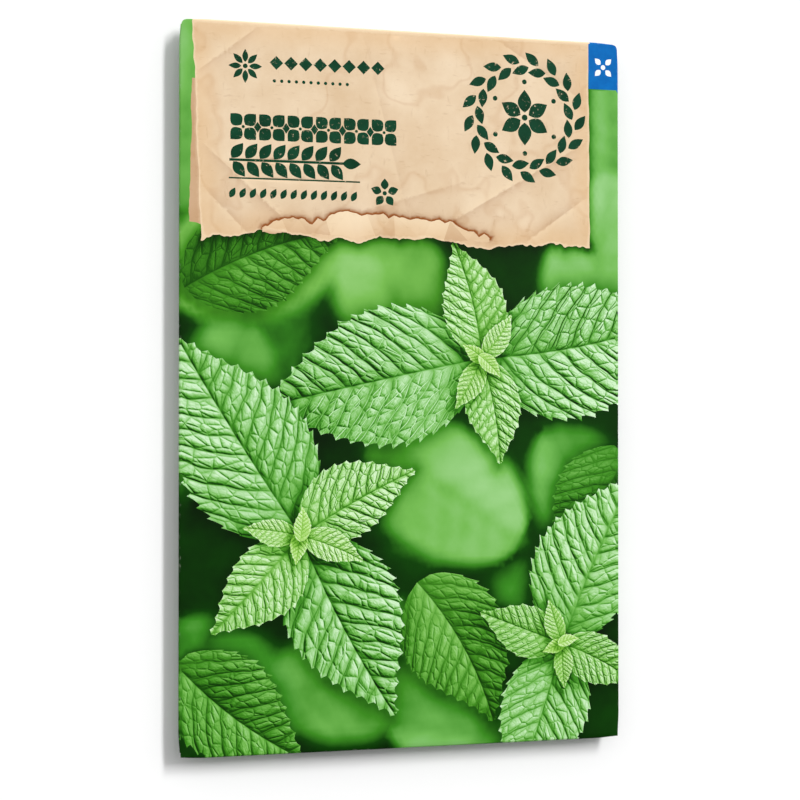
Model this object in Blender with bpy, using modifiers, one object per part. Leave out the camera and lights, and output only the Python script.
"""A flat paper seed packet, closed and filled, lying on its back with the printed face up.

One sheet of paper is folded round into a bag: the face, a narrow tab on the left, the back panel
on the right, and a flap at each end. Three lines of glue hold the tab and the flaps to the back
panel, and loose seeds lie inside. All sizes are in metres. +X is to the right of the face, +Y
towards its top and +Z out of it. The origin is on the surface that the packet lies on.
"""

import math
import random

import bmesh
import bpy
from mathutils import Matrix, Vector

# The packet's outer size, and the sheet it is folded from
PACKET_WIDTH = 0.090
PACKET_HEIGHT = 0.141
PAPER = 0.00015
FOLD_REACH = 0.0003
CORNER_RADIUS = 0.0009
TAB_WIDTH = 0.012
TOP_FLAP = 0.021
BOTTOM_FLAP = 0.014
FLAP_CORNER = 0.004
FLAP_TAPER = math.radians(7)
CORNER_STEPS = (1, 0.7, 0.4, 0.15, 0)

# How far the middle of each folded layer lies under the middle of the face, at the rim
LAYER_STEP = 0.0004
TAB_DEPTH = 0.0006
BACK_DEPTH = TAB_DEPTH + LAYER_STEP
FLAP_DEPTH = BACK_DEPTH + LAYER_STEP

# The bulge over the seeds: how far it rises or drops, and over what distance in from the rim
FACE_RISE = 0.0006
FACE_RUN = (0.034, 0.040)
BACK_DROP = 0.0032
BACK_RUN = (0.022, 0.032)

# Glue, in the gap between two layers
GLUE = 0.0001
SEAM_GLUE_WIDTH = 0.008
FLAP_GLUE_START = 0.35
END_MARGIN = 0.008
TAB_SLANT_LENGTH = 1.5 * TAB_WIDTH

# Seeds
SEED_COUNT = 140
SEED_SIZE = (0.0019, 0.0011, 0.0010)
HEAP_CENTRE = (0.003, -0.012)
HEAP_RADII = (0.0115, 0.0165)
HEAP_CORE = 0.0006
HEAP_CLEARANCE = 0.0003
CORE_SEGMENTS = 36
CORE_TAPER = 0.985
SEED_HEIGHTS = (0.7, 1.1)
SEED_TILT = 0.25
SEED_SWAY = 0.15

# Half of the flat face between its fold lines
HALF_WIDTH = PACKET_WIDTH / 2 - FOLD_REACH - PAPER / 2
HALF_HEIGHT = PACKET_HEIGHT / 2 - FOLD_REACH - PAPER / 2
RIM_Z = BACK_DEPTH + BACK_DROP + PAPER / 2
FOLD_STEPS = 4
SLOPE_STEPS = 6
BARE_PAPER_SLOT = 3

# Printed areas of the face
LABEL_BOTTOM = 0.0285
TAB_PRINT_LEFT = 0.0386
TAB_PRINT_BOTTOM = 0.0615

COLOURS = {
    "foliage_print": ((0.16, 0.42, 0.12), 0.45),
    "kraft_print": ((0.80, 0.60, 0.38), 0.55),
    "blue_print": ((0.0, 0.16, 0.52), 0.45),
    "bare_paper": ((0.86, 0.84, 0.79), 0.6),
    "dried_glue": ((0.80, 0.78, 0.70), 0.35),
    "seed_brown": ((0.10, 0.055, 0.03), 0.6),
}


def clear_scene():
    for item in list(bpy.data.objects):
        bpy.data.objects.remove(item)


def material(name):
    colour, roughness = COLOURS[name]
    made = bpy.data.materials.new(name)
    made.use_nodes = True
    shader = made.node_tree.nodes["Principled BSDF"]
    shader.inputs["Base Color"].default_value = (*colour, 1)
    shader.inputs["Roughness"].default_value = roughness
    shader.inputs["Metallic"].default_value = 0
    return made


def new_object(name, bm, home, materials):
    mesh = bpy.data.meshes.new(name)
    bm.to_mesh(mesh)
    bm.free()
    for made in materials:
        mesh.materials.append(made)
    mesh.shade_smooth()
    mesh.set_sharp_from_angle(angle=math.radians(40))
    item = bpy.data.objects.new(name, mesh)
    home.objects.link(item)
    return item


def ease(distance, run):
    """From 0 at the rim to 1 at run metres in, in straight steps, so that all layers crease alike."""
    place = min(max(distance / run, 0), 1) * SLOPE_STEPS
    low = min(math.floor(place), SLOPE_STEPS - 1)
    rises = [math.sin(math.pi / 2 * step / SLOPE_STEPS) for step in (low, low + 1)]
    return rises[0] + (rises[1] - rises[0]) * (place - low)


def swell(x, y, run):
    return ease(HALF_WIDTH - abs(x), run[0]) * ease(HALF_HEIGHT - abs(y), run[1])


def face_point(x, y):
    """A point of the face, with the two top corners of the sheet rounded."""
    inner_x = HALF_WIDTH - CORNER_RADIUS
    inner_y = HALF_HEIGHT - CORNER_RADIUS
    over = Vector((abs(x) - inner_x, y - inner_y))
    if min(over) > 0:
        over *= max(over) / over.length
        x = math.copysign(inner_x + over.x, x)
        y = inner_y + over.y
    return Vector((x, y, RIM_Z + FACE_RISE * swell(x, y, FACE_RUN)))


def under_point(x, y, depth):
    """A point of a layer that is folded under the face."""
    return Vector((x, y, RIM_Z - depth - BACK_DROP * swell(x, y, BACK_RUN)))


def stations(half, run):
    """Where the sheet's grid lines lie: close together in the bulge's slope, wide apart on its flat."""
    slope = [half - run * (step + 1) / SLOPE_STEPS for step in range(SLOPE_STEPS)]
    flat = (half - run) / 2
    outer = [half, half - CORNER_RADIUS] + slope + [flat]
    return sorted([-value for value in outer] + [0] + outer)


def add_panel(bm, columns, rows, place, slot=0):
    """Adds a grid of faces whose corners lie at place(column, row)."""
    made = bmesh.ops.create_grid(
        bm, x_segments=len(columns) - 1, y_segments=len(rows) - 1, size=1
    )
    for vert in made["verts"]:
        i = round((vert.co.x + 1) / 2 * (len(columns) - 1))
        j = round((vert.co.y + 1) / 2 * (len(rows) - 1))
        vert.co = place(columns[i], rows[j])
    for face in {face for vert in made["verts"] for face in vert.link_faces}:
        face.material_index = slot


def fold_angles():
    return [math.pi * step / FOLD_STEPS for step in range(FOLD_STEPS + 1)]


def side_fold(side, depth):
    """The half round at the left (-1) or right (1) edge, from the face to a layer under it."""
    radius = depth / 2

    def place(angle, y):
        x = side * (HALF_WIDTH + FOLD_REACH * math.sin(angle))
        return Vector((x, y, RIM_Z - radius + radius * math.cos(angle)))

    return place


def end_fold(end, depth):
    """The half round at the bottom (-1) or top (1) edge."""
    radius = depth / 2

    def place(x, angle):
        y = end * (HALF_HEIGHT + FOLD_REACH * math.sin(angle))
        return Vector((x, y, RIM_Z - radius + radius * math.cos(angle)))

    return place


def flap_half_width(distance, length):
    """A flap's half width, which tapers from its fold and is rounded at its free corners."""
    start = HALF_WIDTH - CORNER_RADIUS
    left = length - distance
    rounded = 0
    if left < FLAP_CORNER:
        rounded = FLAP_CORNER - math.sqrt(FLAP_CORNER**2 - (FLAP_CORNER - left) ** 2)
    return start - distance * math.tan(FLAP_TAPER) - rounded


def squeeze(value, knee, edge, new_edge):
    """Draws the stretch between knee and edge in, so that it ends at new_edge, on either side."""
    over = abs(value) - knee
    if over <= 0:
        return value
    return math.copysign(knee + over * (new_edge - knee) / (edge - knee), value)


def flap(end, length):
    """A flap under the bottom (-1) or top (1) end, with columns given where it meets its fold."""

    def place(x, distance):
        half = flap_half_width(distance, length)
        x = squeeze(x, HALF_WIDTH - END_MARGIN, HALF_WIDTH - CORNER_RADIUS, half)
        return under_point(x, end * (HALF_HEIGHT - distance), FLAP_DEPTH)

    return place


def flap_steps(length):
    """How far from its fold a flap's grid lines lie: the back panel's, and then its round corners'."""
    start = length - FLAP_CORNER
    lines = [HALF_HEIGHT - row for row in stations(HALF_HEIGHT, BACK_RUN[1])]
    corner = [length - FLAP_CORNER * share for share in CORNER_STEPS]
    return sorted(line for line in lines if line < start) + corner


def tab(distance, y):
    """The tab under the left edge, cut back at a slant at both ends."""
    edge = HALF_HEIGHT - CORNER_RADIUS
    y = squeeze(y, HALF_HEIGHT - TAB_SLANT_LENGTH, edge, edge - distance)
    return under_point(-HALF_WIDTH + distance, y, TAB_DEPTH)


def print_slot(x, y):
    """Which printed area a spot on the face belongs to."""
    if x > TAB_PRINT_LEFT and y > TAB_PRINT_BOTTOM:
        return 2
    return 1 if y > LABEL_BOTTOM and x < TAB_PRINT_LEFT else 0


def make_sheet(home, materials):
    columns = stations(HALF_WIDTH, BACK_RUN[0])
    rows = stations(HALF_HEIGHT, BACK_RUN[1])
    face_columns = sorted(columns + [TAB_PRINT_LEFT])
    face_rows = sorted(rows + [LABEL_BOTTOM, TAB_PRINT_BOTTOM])
    paper = BARE_PAPER_SLOT
    bm = bmesh.new()
    add_panel(bm, face_columns, face_rows, face_point)
    for face in bm.faces:
        centre = face.calc_center_median()
        face.material_index = print_slot(centre.x, centre.y)

    # The folds stop short of the corners, and the grids share their lines with the face
    side_rows = face_rows[1:-1]
    end_columns = face_columns[1:-1]
    angles = fold_angles()
    for side, depth in ((-1, TAB_DEPTH), (1, BACK_DEPTH)):
        add_panel(bm, angles, side_rows, side_fold(side, depth), paper)
    back_columns = [x for x in columns if x > -HALF_WIDTH]
    add_panel(bm, back_columns, side_rows, lambda x, y: under_point(x, y, BACK_DEPTH), paper)
    tab_steps = [x + HALF_WIDTH for x in columns if x + HALF_WIDTH < TAB_WIDTH] + [TAB_WIDTH]
    add_panel(bm, tab_steps, side_rows, tab, paper)
    for end, length in ((-1, BOTTOM_FLAP), (1, TOP_FLAP)):
        add_panel(bm, end_columns, angles, end_fold(end, FLAP_DEPTH), paper)
        add_panel(bm, end_columns, flap_steps(length), flap(end, length), paper)

    bmesh.ops.remove_doubles(bm, verts=bm.verts, dist=1e-7)
    bmesh.ops.recalc_face_normals(bm, faces=bm.faces)
    bm.faces.ensure_lookup_table()
    if bm.faces[0].normal.z < 0:
        bmesh.ops.reverse_faces(bm, faces=bm.faces)
    sheet = new_object("folded_sheet", bm, home, materials)
    thicken(sheet, PAPER)


def thicken(item, thickness):
    """Gives a surface its thickness, bare on the inner side and the cut edges, split alike on both."""
    shell = item.modifiers.new("Thickness", "SOLIDIFY")
    shell.thickness = thickness
    shell.offset = 0
    shell.material_offset = BARE_PAPER_SLOT
    shell.material_offset_rim = BARE_PAPER_SLOT
    split = item.modifiers.new("Split alike", "TRIANGULATE")
    split.quad_method = "SHORTEST_DIAGONAL"


def make_glue(name, columns, rows, depth, home, finish):
    """A thin strip of dried glue that follows the layers it lies between."""
    bm = bmesh.new()
    add_panel(bm, columns, rows, lambda x, y: under_point(x, y, depth))
    thicken(new_object(name, bm, home, [finish]), GLUE)


def inside(values, low, high):
    """The grid lines between low and high, with those two as the first and last."""
    return [low] + [value for value in values if low < value < high] + [high]


def make_all_glue(home):
    finish = material("dried_glue")
    columns = stations(HALF_WIDTH, BACK_RUN[0])
    rows = stations(HALF_HEIGHT, BACK_RUN[1])
    seam_left = -HALF_WIDTH + (TAB_WIDTH - SEAM_GLUE_WIDTH) / 2
    seam_columns = inside(columns, seam_left, seam_left + SEAM_GLUE_WIDTH)
    seam_end = HALF_HEIGHT - TAB_SLANT_LENGTH
    seam_rows = inside(rows, -seam_end, seam_end)
    seam_depth = (TAB_DEPTH + BACK_DEPTH) / 2
    make_glue("seam_glue", seam_columns, seam_rows, seam_depth, home, finish)

    end_columns = inside(columns, -HALF_WIDTH + END_MARGIN, HALF_WIDTH - END_MARGIN)
    flap_depth = (BACK_DEPTH + FLAP_DEPTH) / 2
    for name, end, length in (
        ("bottom_flap_glue", -1, BOTTOM_FLAP),
        ("top_flap_glue", 1, TOP_FLAP),
    ):
        ends = sorted(
            end * (HALF_HEIGHT - distance)
            for distance in (length * FLAP_GLUE_START, length - FLAP_CORNER)
        )
        make_glue(name, end_columns, inside(rows, *ends), flap_depth, home, finish)


def seed_places():
    """Where the seeds lie in the heap, evenly spread by the golden angle, and which way each points."""
    draw = random.Random(12)
    golden = math.pi * (3 - math.sqrt(5))
    for number in range(SEED_COUNT):
        share = math.sqrt((number + 0.5) / SEED_COUNT)
        angle = number * golden + draw.uniform(-SEED_SWAY, SEED_SWAY)
        x = HEAP_CENTRE[0] + HEAP_RADII[0] * share * math.cos(angle)
        y = HEAP_CENTRE[1] + HEAP_RADII[1] * share * math.sin(angle)
        z = draw.uniform(*SEED_HEIGHTS) * HEAP_CORE
        turn = draw.uniform(0, math.pi)
        yield Vector((x, y, z)), turn, draw.uniform(-SEED_TILT, SEED_TILT)


def make_seeds(home):
    """A single layer of seeds, joined by the thin core that they stand out of."""
    floor = PAPER + HEAP_CLEARANCE
    loose = bpy.data.collections.new("loose_seeds")
    home.children.link(loose)
    seed = bpy.data.meshes.new("seed")
    bm = bmesh.new()
    bmesh.ops.create_icosphere(bm, subdivisions=1, radius=0.5)
    bmesh.ops.scale(bm, vec=SEED_SIZE, verts=bm.verts)
    bm.to_mesh(seed)
    bm.free()
    for place, turn, tilt in seed_places():
        item = bpy.data.objects.new("loose_seed", seed)
        item.location = place + Vector((0, 0, floor))
        item.rotation_euler = (tilt, -tilt, turn)
        loose.objects.link(item)

    bm = bmesh.new()
    bmesh.ops.create_cone(
        bm, cap_ends=True, segments=CORE_SEGMENTS, radius1=1, radius2=CORE_TAPER, depth=HEAP_CORE
    )
    lift = Matrix.Translation((*HEAP_CENTRE, floor + HEAP_CORE / 2))
    spread = Matrix.Diagonal((HEAP_RADII[0], HEAP_RADII[1], 1, 1))
    bmesh.ops.transform(bm, matrix=lift @ spread, verts=bm.verts)
    heap = new_object("seeds", bm, home, [material("seed_brown")])
    join = heap.modifiers.new("Join the seeds", "BOOLEAN")
    join.operation = "UNION"
    join.operand_type = "COLLECTION"
    join.collection = loose
    join.solver = "EXACT"
    graph = bpy.context.evaluated_depsgraph_get()
    joined = bpy.data.meshes.new_from_object(heap.evaluated_get(graph))
    heap.modifiers.clear()
    heap.data = joined
    for item in list(loose.objects):
        bpy.data.objects.remove(item)
    bpy.data.collections.remove(loose)


def main():
    clear_scene()
    home = bpy.data.collections.new("seed_packet")
    bpy.context.scene.collection.children.link(home)
    sheet_materials = [
        material(name)
        for name in ("foliage_print", "kraft_print", "blue_print", "bare_paper")
    ]
    make_sheet(home, sheet_materials)
    make_all_glue(home)
    make_seeds(home)


main()
